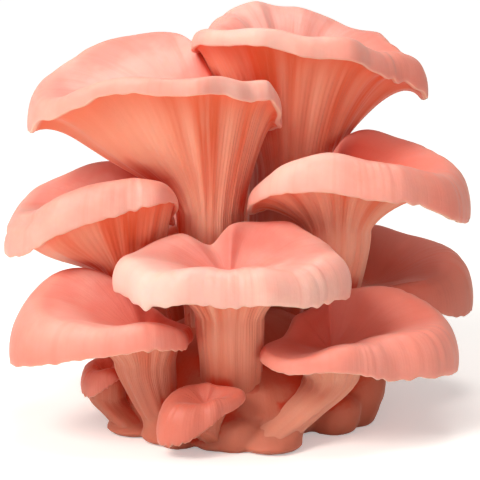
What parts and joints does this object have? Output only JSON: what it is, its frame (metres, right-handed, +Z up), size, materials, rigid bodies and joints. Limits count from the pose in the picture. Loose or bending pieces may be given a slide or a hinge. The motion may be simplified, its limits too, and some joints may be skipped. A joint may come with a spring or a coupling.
{
  "type": "oyster mushroom cluster",
  "caption": "Pink oyster mushroom cluster: overlapping funnel-shaped caps with rolled margins and gills, standing on a common cut butt.",
  "frame": {"origin": "middle of the flat cut face under the butt, on the surface that the cluster stands on", "axes": "+X is the picture's right, +Y points to the back, +Z is up along the stems"},
  "size_m": [0.1601, 0.1481, 0.1353],
  "materials": {
    "cap_flesh": "soft satin mushroom flesh",
    "butt_flesh": "matt mushroom flesh"
  },
  "bodies": {
    "root": {"base_clump": "butt_flesh", "mushroom_top_left": "cap_flesh", "mushroom_top_right": "cap_flesh", "mushroom_mid_left": "cap_flesh", "mushroom_mid_right": "cap_flesh", "mushroom_front": "cap_flesh", "mushroom_low_left": "cap_flesh", "mushroom_low_right": "cap_flesh", "mushroom_far_right": "cap_flesh", "mushroom_foot_left": "cap_flesh", "mushroom_foot_front": "cap_flesh", "mushroom_back_left": "cap_flesh", "mushroom_back_right": "cap_flesh", "mushroom_back_low": "cap_flesh"}
  },
  "joints": []
}
